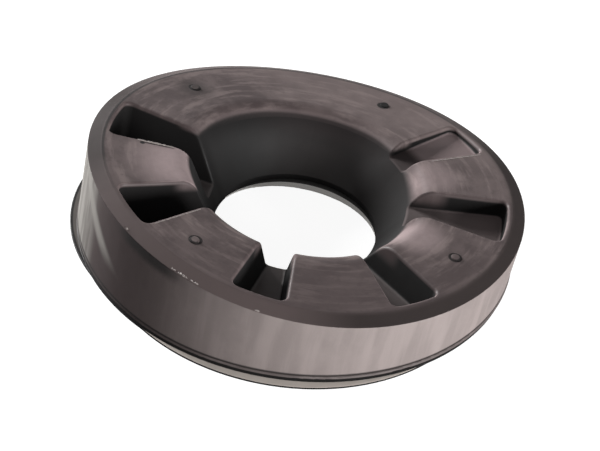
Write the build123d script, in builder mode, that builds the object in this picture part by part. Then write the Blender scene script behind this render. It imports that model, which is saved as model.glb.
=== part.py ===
# Coil spring insulator: a thick ring moulded in one shot from black rubber.
# It lies on the XY plane. Its foot is centred near the Z axis, and its seat is a twisted wedge that
# the end of a coil spring beds on. Sizes are in millimetres. Bearings are in degrees, counted
# anticlockwise from +X as seen from above.
from build123d import *
from math import cos, radians, sin, tan
import os

os.makedirs("parts", exist_ok=True)

# Ring: a round bar of rubber whose axis leans, so that it stands square to the wedge of the seat. The
# leaning axis crosses the Z axis a little below the base.
ring_radius = 75.0
wedge_angle = 5.4
wedge_bearing = 218.7
crossing_depth = 5.0

# Seat: its level on the axis, and the saddle that lifts two sides and lowers the two between.
seat_level = 24.4
saddle_rise = 2.9
saddle_bearing = 11.4

# Bevel round the rim: its width on the seat and its drop down the wall.
bevel_width = 4.5
bevel_drop = 1.8

# Bore: a short round land, and a trumpet above it that opens more to the back, with a round lip.
bore_radius = 28.4
land_height = 2.5
flare_slope_sides = 0.57
flare_slope_back = 0.745
flare_slope_shift = 0.104
flare_bearing = 63.0
lip_radius = 8.5

# Pockets: sectors sunk from the seat and open to the bore, about one to each eighth of a turn.
# Two of the eight places, where the ring is lowest, stay whole. Each pocket has its own level floor.
pocket_bearings = [173.6, 216.4, 261.4, 305.0, 353.4, 36.3]
pocket_span_angles = [19.5, 17.6, 16.0, 15.6, 20.2, 16.0]
pocket_floors = [8.0, 8.0, 9.0, 11.0, 15.0, 16.6]
pocket_draft_angle = 3.0
pocket_margin = 1.4
pocket_end_radius = ring_radius - bevel_width - pocket_margin
pocket_corner = 3.0
floor_round = 0.4 * pocket_corner
mouth_round = 0.7 * pocket_margin

# Bead: half of a thin round cord that stands out of the wall near the foot.
bead_level = 2.1
bead_radius = 0.5

# Flash: a thin sheet round the foot, trimmed by hand, so that it shows as two lobes. Each lobe is the
# part of a disc, smaller than the ring and set off its centre, that reaches past the wall.
flash_thickness = 0.7
flash_radii = [ring_radius - 9.0, ring_radius - 13.0]
flash_shifts = [11.8, 15.4]
flash_bearings = [273.0, 182.0]

# Gate marks: four small round pips on the seat.
gate_circle = 0.8 * ring_radius
gate_bearings = [66.6, 138.4, 237.3, 328.3]
gate_radius = 1.5
gate_rise = 0.35

# Room that cutting shapes keep beyond what they cut.
overrun = 4.0

# The wedge lifts the seat by this much for each millimetre towards its high side. The axis leans away
# from that side by as much. Everything lies under the top level, and inside half a side of the blank.
slope = tan(radians(wedge_angle))
top_level = seat_level + slope * ring_radius + saddle_rise + overrun
half_side = ring_radius + slope * top_level + overrun


def at_bearing(radius, bearing):
    return radius * cos(radians(bearing)), radius * sin(radians(bearing))


def across_axis(level):
    # Plane square to the leaning axis, with its origin where the axis reaches this level.
    lean_x, lean_y = at_bearing(-slope, wedge_bearing)
    x, y = at_bearing(-slope * (level + crossing_depth), wedge_bearing)
    return Plane(origin=(x, y, level), x_dir=(1, 0, -lean_x), z_dir=(lean_x, lean_y, 1))


def seat_at(x, y):
    # Height of the seat over a point: level, wedge and saddle.
    along_wedge = x * cos(radians(wedge_bearing)) + y * sin(radians(wedge_bearing))
    along = x * cos(radians(saddle_bearing)) + y * sin(radians(saddle_bearing))
    across = y * cos(radians(saddle_bearing)) - x * sin(radians(saddle_bearing))
    saddle = saddle_rise * (along**2 - across**2) / ring_radius**2
    return seat_level + slope * along_wedge + saddle


def block_end(side):
    # End of the blank block, square to a straight line of the saddle, with the seat as its top edge.
    line = saddle_bearing - 45
    x, y = at_bearing(side * half_side, line)
    dx, dy = at_bearing(half_side, line + 90)
    plane = Plane(origin=(x, y, 0), x_dir=(dx, dy, 0), z_dir=(*at_bearing(1, line), 0))
    with BuildSketch(plane) as end:
        with BuildLine():
            Polyline(
                (-half_side, 0),
                (half_side, 0),
                (half_side, seat_at(x + dx, y + dy)),
                (-half_side, seat_at(x - dx, y - dy)),
                close=True,
            )
        make_face()
    return end.sketch


def pocket_tool(place):
    # Sector about the leaning axis with drafted sides, rounded at its outer corners and along its floor.
    start = pocket_bearings[place] - pocket_span_angles[place] / 2
    stop = pocket_bearings[place] + pocket_span_angles[place] / 2
    inner_radius = bore_radius - overrun
    with BuildPart() as tool:
        with BuildSketch(across_axis(seat_level + saddle_rise + overrun)) as outline:
            with BuildLine():
                end = CenterArc((0, 0), pocket_end_radius, start, stop - start)
                Polyline(end @ 1, at_bearing(inner_radius, stop), at_bearing(inner_radius, start), end @ 0)
            make_face()
            far_corners = outline.vertices().sort_by(lambda corner: Vector(corner.X, corner.Y).length)[-2:]
            fillet(far_corners, radius=pocket_corner)
        extrude(amount=-top_level, taper=pocket_draft_angle)
        split(bisect_by=Plane.XY.offset(pocket_floors[place]), keep=Keep.TOP)
        fillet(tool.faces().sort_by(Axis.Z)[0].edges(), radius=floor_round)
    return tool.part


def seat_face(solid):
    level_faces = solid.faces().filter_by(lambda face: face.normal_at().Z > 0.9)
    return level_faces.sort_by(SortBy.AREA)[-1]


with BuildPart() as spring_insulator:
    # Body: a round bar along the leaning axis, from under the base to over the seat.
    with BuildSketch(across_axis(-top_level)):
        Circle(ring_radius)
    extrude(amount=3 * top_level)

    # Seat and base: the saddle is a ruled surface, so a block drawn between two unlike ends bears it
    # exactly. The underside of the block cuts the bar off level.
    ends = [block_end(side) for side in (-1, 1)]
    loft(ends, ruled=True, mode=Mode.INTERSECT)

    # Bore: the land, then the trumpet, ruled from a circle to an oval set towards the back.
    with BuildSketch():
        Circle(bore_radius)
    extrude(amount=land_height, mode=Mode.SUBTRACT)
    with BuildSketch(Plane.XY.offset(land_height)):
        Circle(bore_radius)
    trumpet_height = top_level - land_height
    trumpet_centre = across_axis(top_level).origin
    shift_x, shift_y = at_bearing(flare_slope_shift * trumpet_height, flare_bearing)
    with BuildSketch(Plane.XY.offset(top_level)):
        with Locations((trumpet_centre.X + shift_x, trumpet_centre.Y + shift_y)):
            half_width = bore_radius + flare_slope_sides * trumpet_height
            half_depth = bore_radius + flare_slope_back * trumpet_height
            Ellipse(half_width, half_depth)
    loft(ruled=True, mode=Mode.SUBTRACT)

    # Bevel round the rim, and the lip of the trumpet.
    seat = seat_face(spring_insulator)
    chamfer(seat.outer_wire().edges(), length=bevel_width, length2=bevel_drop, reference=seat)
    fillet(seat_face(spring_insulator).inner_wires()[0].edges(), radius=lip_radius)

    # Pockets, then their mouths: the round runs on from each outer end, down the lip and into the bore.
    for place in range(len(pocket_bearings)):
        add(pocket_tool(place), mode=Mode.SUBTRACT)
    seat_middle = across_axis(seat_level).origin
    for bearing in pocket_bearings:
        x, y = at_bearing(pocket_end_radius, bearing)
        x += seat_middle.X
        y += seat_middle.Y
        outer_end = spring_insulator.edges().sort_by_distance((x, y, seat_at(x, y)))[0]
        fillet(outer_end, radius=mouth_round)

    # Bead near the foot of the wall.
    bead_middle = across_axis(bead_level).origin
    with BuildSketch(Plane(origin=(bead_middle.X, bead_middle.Y, 0), x_dir=(1, 0, 0), z_dir=(0, -1, 0))):
        with Locations((ring_radius, bead_level)):
            Circle(bead_radius)
    revolve(axis=Axis((bead_middle.X, bead_middle.Y, 0), (0, 0, 1)))

    # Flash round the foot.
    with BuildSketch():
        for radius, shift, bearing in zip(flash_radii, flash_shifts, flash_bearings):
            with Locations(at_bearing(shift, bearing)):
                Circle(radius)
        Circle(bore_radius, mode=Mode.SUBTRACT)
    extrude(amount=flash_thickness)

    # Gate marks.
    for bearing in gate_bearings:
        x, y = at_bearing(gate_circle, bearing)
        x += seat_middle.X
        y += seat_middle.Y
        with BuildSketch(Plane.XY.offset(seat_at(x, y) - gate_radius)):
            with Locations((x, y)):
                Circle(gate_radius)
        extrude(amount=gate_radius + gate_rise)

spring_insulator.part.label = "spring_insulator"
export_step(spring_insulator.part, "parts/spring_insulator.step")
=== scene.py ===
import math
import random

import bpy
from mathutils import Matrix, Vector


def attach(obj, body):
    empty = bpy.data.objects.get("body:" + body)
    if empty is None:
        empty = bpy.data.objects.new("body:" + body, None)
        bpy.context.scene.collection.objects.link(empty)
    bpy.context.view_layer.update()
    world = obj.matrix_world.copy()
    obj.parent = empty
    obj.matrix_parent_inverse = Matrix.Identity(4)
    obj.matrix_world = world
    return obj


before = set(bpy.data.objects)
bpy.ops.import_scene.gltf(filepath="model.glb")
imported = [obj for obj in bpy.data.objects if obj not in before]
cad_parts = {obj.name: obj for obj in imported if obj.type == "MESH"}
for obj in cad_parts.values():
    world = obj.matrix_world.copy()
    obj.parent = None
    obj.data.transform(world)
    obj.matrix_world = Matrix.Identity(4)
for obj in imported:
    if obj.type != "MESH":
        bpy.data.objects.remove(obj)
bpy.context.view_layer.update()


# Ring: one moulding of black rubber. Its skin is dull and purplish where bloom and handling
# have greyed it, with wiped streaks that run round the seat, and it stays blacker on the
# steep sides of the bore. Painted shade darkens the pockets and parts of the bore further, and painted
# highlights and a painted sheen pale the lug bends, some mouths and the back of the seat.
def towards(bearing_degrees):
    """A level way from the axis towards a bearing."""
    turn = math.radians(bearing_degrees)
    return math.cos(turn), math.sin(turn), 0


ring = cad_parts["spring_insulator"]
ring_radius = 0.075
seat_middle_height = 0.0244
wedge_slope = math.tan(math.radians(5.4))
wedge_way = towards(218.7)
saddle_height = 0.0029
saddle_way = towards(11.4)
crossing_depth = 0.005
lean_x = -wedge_slope * wedge_way[0]
lean_y = -wedge_slope * wedge_way[1]

rubber = bpy.data.materials.new("moulded_rubber")
rubber.use_nodes = True
rubber.node_tree.nodes.clear()


def step(kind, sockets=None, tree=rubber.node_tree, **settings):
    """One step of a finish: a node, its sockets by name or number, and its settings."""
    node = tree.nodes.new(kind)
    for name, value in settings.items():
        setattr(node, name, value)
    for socket, value in (sockets or {}).items():
        if isinstance(value, bpy.types.NodeSocket):
            tree.links.new(value, node.inputs[socket])
        else:
            node.inputs[socket].default_value = value
    return node


def work(operation, first, second=0.0, third=0.0, clamp=False):
    """A sum on numbers that vary over the skin."""
    node = step("ShaderNodeMath", {0: first, 1: second, 2: third}, operation=operation, use_clamp=clamp)
    return node.outputs[0]


def product(first, *others):
    """Several numbers multiplied together."""
    for other in others:
        first = work("MULTIPLY", first, other)
    return first


def greatest(first, *others):
    """The greatest of several numbers."""
    for other in others:
        first = work("MAXIMUM", first, other)
    return first


def rest(value):
    """What a share leaves of 1."""
    return work("SUBTRACT", 1.0, value)


def share(value, low, high):
    """How far a value has come from low to high, from 0 to 1, with soft ends."""
    node = step("ShaderNodeMapRange", {0: value, 1: low, 2: high}, interpolation_type="SMOOTHSTEP")
    return node.outputs[0]


def along(vector, way):
    """How far a vector reaches along a way."""
    return step("ShaderNodeVectorMath", {0: vector, 1: way}, operation="DOT_PRODUCT").outputs["Value"]


def distance(vector, spot):
    """How far the end of a vector is from a spot."""
    return step("ShaderNodeVectorMath", {0: vector, 1: spot}, operation="DISTANCE").outputs["Value"]


def cloud(vector, scale, detail=4.0, roughness=0.55):
    """Soft mottling, from 0 to 1."""
    sockets = {"Vector": vector, "Scale": scale, "Detail": detail, "Roughness": roughness}
    return step("ShaderNodeTexNoise", sockets).outputs[0]


def tint(amount, under, over, strength=1.0):
    """The colour over laid on the colour under, by an amount that varies over the skin."""
    if strength != 1.0:
        amount = work("MULTIPLY", amount, strength)
    return step("ShaderNodeMix", {0: amount, 6: under, 7: over}, data_type="RGBA").outputs[2]


# Where a point of the skin is: how far from the leaning axis and which way, and how far below
# the seat.
place = step("ShaderNodeTexCoord").outputs["Object"]
facing = step("ShaderNodeNewGeometry").outputs["Normal"]
height = step("ShaderNodeSeparateXYZ", {0: place}).outputs[2]
upward = step("ShaderNodeSeparateXYZ", {0: facing}).outputs[2]
foot_shift = (-lean_x * crossing_depth, -lean_y * crossing_depth, 0)
shifted_place = step("ShaderNodeVectorMath", {0: place, 1: foot_shift}).outputs[0]
off_axis = step("ShaderNodeVectorMath", {0: height, 1: (-lean_x, -lean_y, -1), 2: shifted_place},
                operation="MULTIPLY_ADD").outputs[0]
radius = step("ShaderNodeVectorMath", {0: off_axis}, operation="LENGTH").outputs["Value"]
outward = step("ShaderNodeVectorMath", {0: off_axis}, operation="NORMALIZE").outputs[0]
outward_x, outward_y = step("ShaderNodeSeparateXYZ", {0: outward}).outputs[:2]
up_wedge = along(place, (wedge_slope * wedge_way[0], wedge_slope * wedge_way[1], -1))
saddle_long = along(place, saddle_way)
saddle_wide = along(place, (-saddle_way[1], saddle_way[0], 0))
saddle_part = work("SUBTRACT", product(saddle_long, saddle_long), product(saddle_wide, saddle_wide))
below_seat = work("MULTIPLY_ADD", saddle_part, saddle_height / ring_radius ** 2,
                  work("ADD", up_wedge, seat_middle_height))

# Which part of the ring a point is on: bevel, flash or wall outside, and what is sunk inside.
# The bevel starts at its inner radius, and the pockets start where the lip of the bore ends.
bevel_inner_radius = 0.0705
lip_end_radius = 0.045
pocket_start_radius = 0.050
outer_skin = share(radius, bevel_inner_radius - 0.0002, bevel_inner_radius + 0.0004)
steep = share(upward, 0.45, 0.3)
near_seat = share(below_seat, 0.004, 0.0025)
on_bevel = product(outer_skin, rest(steep), near_seat)
on_flash = product(outer_skin, share(upward, 0.5, 0.8), share(height, 0.0012, 0.0009))
on_wall = work("SUBTRACT", work("SUBTRACT", outer_skin, on_bevel), on_flash)
pocket_zone = share(radius, lip_end_radius, pocket_start_radius)

# Seat colour runs further down the lip of the bore at the front than at the back, carrying the
# painted highlights of the front lug bends down the lip, and it stops short at the mouths of the pockets.
bloom_reach_at_back = 0.0021
more_lit_reach_at_front = 0.0036
front_lip_light = share(along(outward, towards(300)), -0.5, 0.5)
lip_reach = work("MULTIPLY_ADD", front_lip_light, more_lit_reach_at_front, bloom_reach_at_back)
sunk_in_bore = share(work("DIVIDE", below_seat, lip_reach), 0.5, 1.3)
sunk_in_pocket = share(below_seat, 0.0007, 0.0016)
sunk = step("ShaderNodeMix", {0: pocket_zone, 2: sunk_in_bore, 3: sunk_in_pocket}).outputs[0]
sunk = product(sunk, rest(outer_skin))
inward_facing = work("ABSOLUTE", along(outward, facing))
side_wall = greatest(share(inward_facing, 0.55, 0.30), share(radius, 0.054, 0.060))
# The steep sides of the pockets, which are given painted shade further down.
pocket_wall_shade = product(side_wall, sunk, share(upward, 0.7, 0.4))

# Streaks run round the ring on the seat, and up and down on the wall. Each is mottling that is
# drawn out along its run.
round_streaks = cloud(step("ShaderNodeCombineXYZ", {
    0: work("MULTIPLY", outward_x, 0.02),
    1: work("MULTIPLY", outward_y, 0.02),
    2: work("MULTIPLY", radius, 2.2),
}).outputs[0], 160, detail=5.0, roughness=0.6)
upright_streaks = cloud(step("ShaderNodeCombineXYZ", {
    0: work("MULTIPLY", outward_x, 0.075),
    1: work("MULTIPLY", outward_y, 0.075),
    2: work("MULTIPLY", height, 0.12),
}).outputs[0], 190, detail=4.0)
blotches = cloud(place, 75, detail=5.0, roughness=0.62)
small_mottle = cloud(place, 420, detail=3.0)

# The seat is mottled and streaked, paler at the back where a sheen is painted, and darker at the front.
bloomed_rubber = (0.075, 0.058, 0.057, 1)
stain_and_shade = (0.045, 0.034, 0.034, 1)
pale_bloom_and_sheen = (0.120, 0.095, 0.092, 1)
# The palest tone is painted light, on lug bends, pocket mouths and shallow pocket floors.
painted_light_tone = (0.210, 0.165, 0.165, 1)
seat_colour = tint(share(blotches, 0.36, 0.66), stain_and_shade, bloomed_rubber)
seat_colour = tint(share(round_streaks, 0.46, 0.66), seat_colour, pale_bloom_and_sheen, 0.75)
seat_colour = tint(share(small_mottle, 0.50, 0.72), seat_colour, stain_and_shade, 0.5)
back_sheen = share(along(off_axis, towards(65)), 0.030, 0.058)
seat_colour = tint(back_sheen, seat_colour, pale_bloom_and_sheen, 0.45)
front_darkening = share(along(off_axis, towards(285)), 0.035, 0.060)
seat_colour = tint(front_darkening, seat_colour, stain_and_shade, 0.6)

# Painted highlights lie in pale patches on the bends of three lugs, each with a middle, an outer
# reach, the reach of its full tone, and a strength. Painted shade keeps them off and darkens the mouth
# rounds that face the front, and painted highlights pale the mouth rounds that face the back.
lug_highlights = [
    ((-0.041, -0.011, 0), 0.024, 0.006, 1.0),
    ((0.0385, -0.0235, 0), 0.012, 0.004, 0.7),
    ((0.0423, 0.0121, 0), 0.013, 0.004, 0.5),
]
mouth_round = product(share(below_seat, 0.0001, 0.0003), share(radius, 0.037, 0.041))
front_facing = share(along(facing, (0, -1, 0)), 0.10, 0.45)
shaded_mouth = product(mouth_round, front_facing, share(outward_y, 0.7, 0.4))
patches = []
for middle, reach, full_reach, strength in lug_highlights:
    patches.append(product(share(distance(off_axis, middle), reach, full_reach), strength))
painted_lug_highlight = product(greatest(*patches), rest(product(shaded_mouth, 0.8)))
painted_lug_highlight = product(painted_lug_highlight, work("MULTIPLY_ADD", small_mottle, 0.5, 0.72))
seat_colour = tint(painted_lug_highlight, seat_colour, painted_light_tone)
# Painted shade darkens mouth rounds that face the front; painted highlights pale those that face the back.
seat_colour = tint(shaded_mouth, seat_colour, stain_and_shade, 0.8)
back_facing = share(along(facing, (0, 1, 0)), 0.05, 0.40)
mouth_highlight = product(mouth_round, pocket_zone, back_facing)
seat_colour = tint(mouth_highlight, seat_colour, painted_light_tone, 0.7)

# A dark line is painted along the near edge of the first pocket as the shadow of the torn lip there, and it
# ends in a black spot.
deep_black = (0.005, 0.0045, 0.0045, 1)
tear_way = towards(184.8)
tear_end = (-0.0570, -0.0051, 0)
off_tear = work("ABSOLUTE", along(off_axis, (-tear_way[1], tear_way[0], 0)))
tear_run = product(share(radius, 0.0460, 0.0470), share(radius, 0.0578, 0.0570))
torn_lip_shadow = product(share(off_tear, 0.0005, 0.0002), tear_run, share(outward_x, 0.0, -0.5))
tear_spot = share(distance(off_axis, tear_end), 0.0011, 0.0006)
seat_colour = tint(greatest(product(torn_lip_shadow, 0.75), tear_spot), seat_colour, deep_black)

# The bore is black. Painted shade blackens the sides of the pockets and the pockets on the left,
# and makes the bore blackest at its upper back and at the right. Pocket floors are greyer, and
# painted light makes them paler the shallower they lie.
black_rubber = (0.0155, 0.0150, 0.0150, 1)
pocket_floor_rubber = (0.074, 0.063, 0.062, 1)
level_floor = share(upward, 0.55, 0.95)
shallow_floor_light = share(below_seat, 0.0095, 0.0030)
sunk_colour = tint(level_floor, black_rubber, tint(shallow_floor_light, pocket_floor_rubber, painted_light_tone))
sunk_colour = tint(pocket_wall_shade, sunk_colour, deep_black, 0.85)
bore_right_shade = product(share(along(outward, towards(4)), 0.60, 0.88), rest(pocket_zone))
left_pocket_shade = share(along(outward, towards(192)), 0.80, 0.88)
upper_bore_shade = product(share(below_seat, 0.012, 0.003), share(outward_y, -0.1, 0.5))
upper_bore_shade = product(upper_bore_shade, sunk, rest(pocket_zone))
painted_shade_sides = greatest(product(bore_right_shade, 0.3), product(left_pocket_shade, 0.6))
sunk_colour = tint(painted_shade_sides, sunk_colour, deep_black)
sunk_colour = tint(upper_bore_shade, sunk_colour, deep_black, 0.8)
skin_colour = tint(sunk, seat_colour, sunk_colour)

# The bevel is darkest at the sides, where shade is painted on it, and a fine dark line runs along its inner
# edge at the back.
bevel_rubber = (0.020, 0.0155, 0.015, 1)
front_bevel = (0.066, 0.051, 0.050, 1)
back_bevel = (0.055, 0.044, 0.043, 1)
line_way = (-0.5, 0.87, 0)
to_front = share(along(outward, towards(240)), 0.65, 0.95)
to_back = share(outward_y, 0.30, 0.80)
bevel_colour = tint(to_back, tint(to_front, bevel_rubber, front_bevel), back_bevel)
soft_bevel = product(rest(steep), near_seat, share(radius, 0.0692, 0.0716))
skin_colour = tint(soft_bevel, skin_colour, bevel_colour)
bevel_line = product(share(radius, 0.0697, 0.0701), share(radius, 0.0710, 0.0706))
bevel_line = product(bevel_line, share(below_seat, 0.0012, 0.0008))
bevel_line = product(bevel_line, share(along(outward, line_way), -0.2, 0.5))
skin_colour = tint(bevel_line, skin_colour, black_rubber, 0.75)

# The wall is painted pale at the right and dark at the left as painted light and shade, and it
# is counted in degrees from the far left. There painted highlights give it a grey end and an
# upright and a slanted pale streak, and painted shade gives it a black patch under the rim.
wall_bloom = (0.155, 0.132, 0.127, 1)
wall_stain = (0.126, 0.107, 0.103, 1)
shaded_wall = (0.021, 0.014, 0.014, 1)
wall_highlight_streak = (0.120, 0.113, 0.105, 1)
lit_left_wall_tone = (0.072, 0.066, 0.061, 1)
streak_slant = 1070.0
slanted_streak_turn = 52.0
upright_streak_turn = 10.0
left_turn = work("ARCTAN2", product(outward_y, -1.0), product(outward_x, -1.0))
left_turn = product(left_turn, math.degrees(1))
lit_side = share(along(outward, towards(318)), -0.1, 0.8)
wall_colour = tint(share(upright_streaks, 0.40, 0.68), wall_stain, wall_bloom)
wall_colour = tint(share(blotches, 0.45, 0.7), wall_colour, wall_bloom, 0.5)
wall_colour = tint(lit_side, shaded_wall, wall_colour)
lit_left_end = product(share(left_turn, 33.0, 22.0), share(left_turn, -28.0, -12.0))
lit_left_colour = tint(share(upright_streaks, 0.42, 0.60), lit_left_wall_tone, wall_highlight_streak)
wall_colour = tint(lit_left_end, wall_colour, lit_left_colour)
slanted_turn = work("MULTIPLY_ADD", height, streak_slant, left_turn)
slanted_streak = share(work("ABSOLUTE", work("SUBTRACT", slanted_turn, slanted_streak_turn)), 5.0, 1.0)
slanted_streak = product(slanted_streak, share(height, 0.010, 0.018))
upright_streak = share(work("ABSOLUTE", work("SUBTRACT", left_turn, upright_streak_turn)), 7.0, 1.0)
wall_colour = tint(greatest(slanted_streak, upright_streak), wall_colour, wall_highlight_streak, 0.85)
rim_shade_patch = product(share(left_turn, 38.0, 47.0), share(left_turn, 66.0, 57.0))
rim_shade_patch = product(rim_shade_patch, share(work("MULTIPLY_ADD", blotches, 0.004, below_seat), 0.0090, 0.0055))
wall_colour = tint(rim_shade_patch, wall_colour, deep_black, 0.85)

# Painted shade darkens the corner above the bead and blackens the foot of the wall under it, and the bead
# and all below it are darker.
bead_crease_shade = product(share(height, 0.0025, 0.0027), share(height, 0.0037, 0.0030))
under_bead_shade = share(height, 0.0020, 0.0017)
on_bead = share(height, 0.0031, 0.0027)
foot_shade = product(on_wall, greatest(bead_crease_shade, under_bead_shade))
wall_colour = tint(bead_crease_shade, wall_colour, deep_black, 0.92)
wall_colour = tint(on_bead, wall_colour, bevel_rubber, 0.6)
wall_colour = tint(under_bead_shade, wall_colour, deep_black)
skin_colour = tint(on_wall, skin_colour, wall_colour)

# The flash round the foot is pale at the front, where light is painted on its top. Painted
# shade makes its left lobe dark, with a black edge, and makes all of it black where it meets the wall.
flash_painted_light = (0.470, 0.425, 0.390, 1)
left_flash_shade = (0.070, 0.062, 0.057, 1)
left_lobe_shift = 0.0154
left_lobe_height = 0.0007
left_lobe_way = towards(182)
left_lobe_middle = (left_lobe_shift * left_lobe_way[0], left_lobe_shift * left_lobe_way[1], left_lobe_height)
flash_colour = tint(share(outward_y, -0.65, -0.85), left_flash_shade, flash_painted_light)
left_lobe_shaded_edge = share(distance(place, left_lobe_middle), 0.0608, 0.0612)
left_lobe_shaded_edge = product(left_lobe_shaded_edge, share(outward_x, -0.60, -0.75))
flash_colour = tint(left_lobe_shaded_edge, flash_colour, deep_black)
flash_colour = tint(share(radius, 0.0756, 0.0753), flash_colour, deep_black)
skin_colour = tint(on_flash, skin_colour, flash_colour)

# Gate marks: a dark ring round each pip. One pip is black all over, and another lies in a
# smudge.
gate_circle_radius = 0.060
gate_bearings = [66.6, 138.4, 237.3, 328.3]
gate_distances = []
for gate_bearing in gate_bearings:
    gate_way = towards(gate_bearing)
    gate_middle = (gate_circle_radius * gate_way[0], gate_circle_radius * gate_way[1], 0)
    gate_distances.append(distance(off_axis, gate_middle))
nearest_gate = gate_distances[0]
for off_gate in gate_distances[1:]:
    nearest_gate = work("MINIMUM", nearest_gate, off_gate)
gate_ring = product(share(nearest_gate, 0.0012, 0.0015), share(nearest_gate, 0.0025, 0.0021))
black_pip = share(gate_distances[0], 0.0023, 0.0017)
gate_smudge = share(work("MULTIPLY_ADD", blotches, 0.006, gate_distances[1]), 0.014, 0.003)
skin_colour = tint(gate_smudge, skin_colour, bevel_rubber, 0.8)
gate_dark = greatest(product(gate_ring, 0.9), black_pip)
skin_colour = tint(gate_dark, skin_colour, deep_black)

# The skin has a fine grain on slow waves, and its edges are a little soft. Dark places are
# matt, and at a glancing angle all of it is.
edge_round = 0.0005
dullest, least_dull = 0.58, 0.46
grain = cloud(place, 1500, detail=2.0)
waves = cloud(place, 55, detail=2.0)
soft_edges = step("ShaderNodeBevel", {"Radius": edge_round}, samples=6).outputs[0]
grain_bump = step("ShaderNodeBump", {
    "Strength": 0.35,
    "Distance": 0.00006,
    "Height": grain,
    "Normal": soft_edges,
}).outputs[0]
wave_bump = step("ShaderNodeBump", {
    "Strength": 0.5,
    "Distance": 0.0008,
    "Height": waves,
    "Normal": grain_bump,
}).outputs[0]
dullness = step("ShaderNodeMapRange", {0: blotches, 1: 0.3, 2: 0.7, 3: dullest, 4: least_dull}).outputs[0]
dull_wall = product(on_wall, rest(lit_side))
matt = product(greatest(pocket_wall_shade, on_bevel, gate_dark, upper_bore_shade, dull_wall), 0.73)
matt_bore = product(bore_right_shade, sunk, 0.9)
matt = work("MAXIMUM", matt, greatest(matt_bore, foot_shade), clamp=True)
glancing = share(step("ShaderNodeLayerWeight", {"Blend": 0.5}).outputs["Facing"], 0.45, 0.68)
right_bend = product(share(outward_x, 0.75, 0.95), share(below_seat, 0.0004, 0.0020))
right_bend = product(right_bend, share(outward_y, -0.30, -0.10))
matt = greatest(matt, glancing, product(right_bend, 0.85))
rubber_skin = step("ShaderNodeBsdfPrincipled", {
    "Base Color": skin_colour,
    "Roughness": step("ShaderNodeMix", {0: matt, 2: dullness, 3: 1.0}).outputs[0],
    "Specular IOR Level": 0.12,
    "Normal": wave_bump,
})
step("ShaderNodeOutputMaterial", {"Surface": rubber_skin.outputs[0]})

ring.data.materials.clear()
ring.data.materials.append(rubber)


# Flash in the bore: a thin crescent of rubber that squeezed out between the mould halves at
# the lower edge of the bore and was left on its back. Its thin ragged tip is painted pale as
# painted light, and its root, which joins the wall of the bore, is black.
def thin_rubber(name, darker, paler):
    """A finish for thin strips, mottled between two tones."""
    finish = bpy.data.materials.new(name)
    finish.use_nodes = True
    skin = finish.node_tree.nodes["Principled BSDF"]
    skin.inputs["Roughness"].default_value = 0.5
    skin.inputs["Specular IOR Level"].default_value = 0.3
    mottle = step("ShaderNodeTexNoise", {"Scale": 300}, tree=finish.node_tree)
    shades = step("ShaderNodeValToRGB", {0: mottle.outputs[0]}, tree=finish.node_tree)
    shades.color_ramp.elements[0].position = 0.35
    shades.color_ramp.elements[0].color = darker
    shades.color_ramp.elements[1].position = 0.65
    shades.color_ramp.elements[1].color = paler
    finish.node_tree.links.new(shades.outputs[0], skin.inputs["Base Color"])
    return finish


def rubber_strip(name, sections, finish):
    """A closed strip of rubber through cross-sections of four corners each."""
    faces = []
    for index in range(1, len(sections)):
        now, before = index * 4, index * 4 - 4
        for corner in range(4):
            following = (corner + 1) % 4
            faces.append((before + corner, before + following, now + following, now + corner))
    last = (len(sections) - 1) * 4
    faces += [(3, 2, 1, 0), (last, last + 1, last + 2, last + 3)]
    mesh = bpy.data.meshes.new(name)
    mesh.from_pydata([corner for section in sections for corner in section], [], faces)
    mesh.update()
    mesh.materials.append(finish)
    strip = bpy.data.objects.new(name, mesh)
    bpy.context.scene.collection.objects.link(strip)
    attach(strip, "root")


random.seed(5)
# The pale finish of the flash tip is painted light.
painted_light_flash = thin_rubber("painted_light_flash_rubber", (0.68, 0.66, 0.63, 1), (0.86, 0.83, 0.80, 1))
black_flash = thin_rubber("black_flash_rubber", (0.010, 0.010, 0.010, 1), (0.022, 0.021, 0.020, 1))
bore_edge_radius = 0.0284
flash_widest = 0.0048
flash_middle = 80.0
flash_reach = 76.0
flash_steps = 120
flash_raggedness = 0.00006
ragged_from_width = 0.0005
pale_share = 0.48
root_depth = 0.0003
flash_underside = 0.00005
flash_inner_top = 0.0004
flash_outer_top = 0.00045
flash_tip = []
flash_root = []
for index in range(flash_steps + 1):
    off_middle = (index / (flash_steps / 2) - 1) * flash_reach
    turn = math.radians(flash_middle + off_middle)
    width = flash_widest * max(math.cos(math.radians(off_middle * 90 / flash_reach)), 0) ** 1.2
    raggedness = random.uniform(-flash_raggedness, flash_raggedness) * (width > ragged_from_width)
    inner = bore_edge_radius - width + raggedness
    seam = bore_edge_radius - pale_share * width
    outer = bore_edge_radius + root_depth
    for sections, near, far in ((flash_tip, inner, seam), (flash_root, seam, outer)):
        sections.append([
            (edge_radius * math.cos(turn), edge_radius * math.sin(turn), edge_height)
            for edge_radius, edge_height in (
                (far, flash_underside),
                (near, flash_underside),
                (near, flash_inner_top),
                (far, flash_outer_top),
            )
        ])
rubber_strip("bore_flash_tip", flash_tip, painted_light_flash)
rubber_strip("bore_flash_root", flash_root, black_flash)


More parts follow.
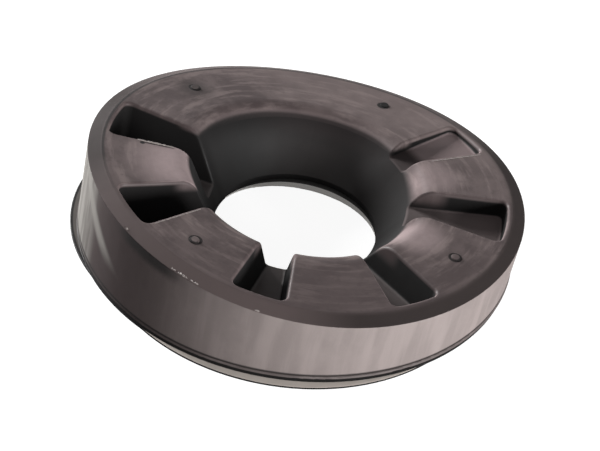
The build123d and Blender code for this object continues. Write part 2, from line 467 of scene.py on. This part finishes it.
# Torn edges: where the ring was pulled from its mould, a ragged lip of rubber stands along the
# near edge of the first pocket, lower lips stand along the near edges of the second and the
# sixth, and shreds stand on the rim at the front left.
def on_seat(from_axis, bearing_degrees, lift):
    """A point at a distance from the leaning axis, lifted off the seat."""
    turn = math.radians(bearing_degrees)
    level = seat_middle_height
    for _ in range(4):
        x = lean_x * (level + crossing_depth) + from_axis * math.cos(turn)
        y = lean_y * (level + crossing_depth) + from_axis * math.sin(turn)
        up = wedge_slope * (x * wedge_way[0] + y * wedge_way[1])
        long = x * saddle_way[0] + y * saddle_way[1]
        wide = y * saddle_way[0] - x * saddle_way[1]
        level = seat_middle_height + up + saddle_height * (long ** 2 - wide ** 2) / ring_radius ** 2
    return x, y, level + lift


torn_rubber = thin_rubber("torn_rubber", (0.09, 0.08, 0.075, 1), (0.24, 0.21, 0.20, 1))
torn_root = -0.0003


def torn_strip(name, spine, width, height, runs_round=False):
    """A ragged lip along a spine of points: distance from the axis, bearing, lift off the seat."""
    sections = []
    for index, (from_axis, bearing_degrees, lift) in enumerate(spine):
        fade = math.sin(math.pi * (index + 0.5) / len(spine)) ** 0.4
        half = width / 2 * random.uniform(0.6, 1.2)
        crest = height * fade * random.uniform(0.35, 1.1)
        section = []
        for side, up in ((-1, torn_root), (1, torn_root), (0.5, crest * 0.8), (-0.7, crest)):
            if runs_round:
                section.append(on_seat(from_axis + side * half, bearing_degrees, lift + up))
            else:
                aside = math.degrees(side * half / from_axis)
                section.append(on_seat(from_axis, bearing_degrees + aside, lift + up))
        sections.append(section)
    rubber_strip(name, sections, torn_rubber)


lip_start = 0.0465
lip_length = 0.0125
lip_bearing = 184.3
lip_turn = 0.4
lip_steps = 26
pocket_edge = []
for index in range(lip_steps + 1):
    from_axis = lip_start + lip_length * index / lip_steps
    pocket_edge.append((from_axis, lip_bearing - lip_turn * index / lip_steps, 0.0))
torn_strip("torn_pocket_edge", pocket_edge, 0.0006, 0.00045)

# Each lip has a name, the bearing of its side of the pocket, the way out of the pocket, and
# where it starts and stops from the axis.
low_lips = [
    ("second_pocket_lip", 225.2, 1, 0.0475, 0.066),
    ("sixth_pocket_lip", 28.3, -1, 0.0475, 0.0675),
]
off_side = 0.0008
low_lip_steps = 40
for name, side_bearing, outside, start, stop in low_lips:
    pocket_lip = []
    for index in range(low_lip_steps + 1):
        from_axis = start + (stop - start) * index / low_lip_steps
        pocket_lip.append((from_axis, side_bearing + outside * math.degrees(off_side / from_axis), 0.0))
    torn_strip(name, pocket_lip, 0.00045, 0.00012)

# Each shred has the bearings where it starts and stops, and a height.
rim_shreds = [
    (223.2, 224.1, 0.0006),
    (239.6, 241.2, 0.0005),
    (241.6, 244.4, 0.0007),
    (244.8, 247.6, 0.0005),
    (262.0, 263.2, 0.0004),
]
shred_radius = 0.0749
rim_drop = -0.0018
points_a_degree = 5
for number, (start, stop, height_of_shred) in enumerate(rim_shreds, start=1):
    points = max(5, round((stop - start) * points_a_degree))
    rim_edge = []
    for index in range(points):
        rim_edge.append((shred_radius, start + (stop - start) * index / (points - 1), rim_drop))
    torn_strip(f"rim_shred_{number}", rim_edge, 0.0007, height_of_shred, runs_round=True)

# Floor and backdrop: a white sweep of paper under the ring, which shows white in the picture
# and keeps the ring's soft shadow.
bpy.ops.mesh.primitive_plane_add(size=6, location=(0, 0, -0.00002))
floor = bpy.context.object
floor.name = "paper_sweep"
paper = bpy.data.materials.new("white_paper")
paper.use_nodes = True
paper.node_tree.nodes.clear()
paper_grey = (0.8, 0.8, 0.8, 1)
shadow_grey = (0.3, 0.3, 0.3, 1)
paper_sight = step("ShaderNodeLightPath", tree=paper.node_tree).outputs
paper_seen = step("ShaderNodeMath", {
    0: paper_sight["Is Camera Ray"],
    1: paper_sight["Is Transmission Ray"],
}, tree=paper.node_tree, operation="MAXIMUM")
paper_unseen = step("ShaderNodeBsdfDiffuse", {"Color": paper_grey}, tree=paper.node_tree)
paper_shadow = step("ShaderNodeBsdfDiffuse", {"Color": shadow_grey}, tree=paper.node_tree)
paper_glow = step("ShaderNodeEmission", {"Strength": 0.88}, tree=paper.node_tree)
paper_white = step("ShaderNodeAddShader", {
    0: paper_shadow.outputs[0],
    1: paper_glow.outputs[0],
}, tree=paper.node_tree)
paper_choice = step("ShaderNodeMixShader", {
    0: paper_seen.outputs[0],
    1: paper_unseen.outputs[0],
    2: paper_white.outputs[0],
}, tree=paper.node_tree)
step("ShaderNodeOutputMaterial", {0: paper_choice.outputs[0]}, tree=paper.node_tree)
floor.data.materials.append(paper)

# Room: even white walls, which the camera and the gloss see at full white, and which light
# the ring with less.
room = bpy.data.worlds.new("white_room")
bpy.context.scene.world = room
room.use_nodes = True
room.node_tree.nodes.clear()
room_colour = (1, 1, 1, 1)
room_light = 0.26
room_sight = step("ShaderNodeLightPath", tree=room.node_tree).outputs
room_seen = step("ShaderNodeMath", {
    0: room_sight["Is Camera Ray"],
    1: room_sight["Is Glossy Ray"],
}, tree=room.node_tree, operation="MAXIMUM")
room_white = step("ShaderNodeBackground", {"Color": room_colour}, tree=room.node_tree)
room_fill = step("ShaderNodeBackground", {"Color": room_colour, "Strength": room_light}, tree=room.node_tree)
room_choice = step("ShaderNodeMixShader", {
    0: room_seen.outputs[0],
    1: room_fill.outputs[0],
    2: room_white.outputs[0],
}, tree=room.node_tree)
step("ShaderNodeOutputWorld", {0: room_choice.outputs[0]}, tree=room.node_tree)


# Lamps: two square soft boxes that stand low over the paper, one on the right towards the
# front and one on the left towards the back. Each is turned to face the middle of the ring.
def soft_box(name, bearing_degrees, elevation_degrees, off_middle, width, power):
    """A square area lamp that faces the middle of the ring."""
    lamp = bpy.data.lights.new(name, "AREA")
    lamp.shape = "SQUARE"
    lamp.size = width
    lamp.energy = power
    holder = bpy.data.objects.new(name, lamp)
    bpy.context.scene.collection.objects.link(holder)
    turn = math.radians(bearing_degrees)
    tilt = math.radians(elevation_degrees)
    away = Vector((math.cos(turn) * math.cos(tilt), math.sin(turn) * math.cos(tilt), math.sin(tilt)))
    holder.location = away * off_middle
    holder.rotation_mode = "QUATERNION"
    holder.rotation_quaternion = away.to_track_quat("Z", "Y")


soft_box("right_soft_box", -40, 9, 1.0, 0.35, 25)
soft_box("left_soft_box", 143, 13, 1.1, 0.4, 50)

# Camera: it looks down on the ring from the front and is turned a little about its own axis.
# It aims a little to the right of the point where the axis meets the floor, and above it.
camera_elevation = math.radians(38.79)
camera_roll = math.radians(8.42)
camera_distance = 0.5561
aim_right = 0.00200
aim_up = 0.00149
camera_data = bpy.data.cameras.new("camera")
camera_data.sensor_width = 36
camera_data.lens = 96
camera = bpy.data.objects.new("camera", camera_data)
bpy.context.scene.collection.objects.link(camera)
bpy.context.scene.camera = camera
sight = Vector((0, math.cos(camera_elevation), -math.sin(camera_elevation)))
level_right = Vector((1, 0, 0))
level_up = level_right.cross(sight)
camera_right = level_right * math.cos(camera_roll) + level_up * math.sin(camera_roll)
camera_up = level_up * math.cos(camera_roll) - level_right * math.sin(camera_roll)
camera.matrix_world = Matrix.Translation(
    camera_right * aim_right + camera_up * aim_up - sight * camera_distance
) @ Matrix((camera_right, camera_up, -sight)).transposed().to_4x4()

bpy.context.scene.view_settings.view_transform = "Standard"
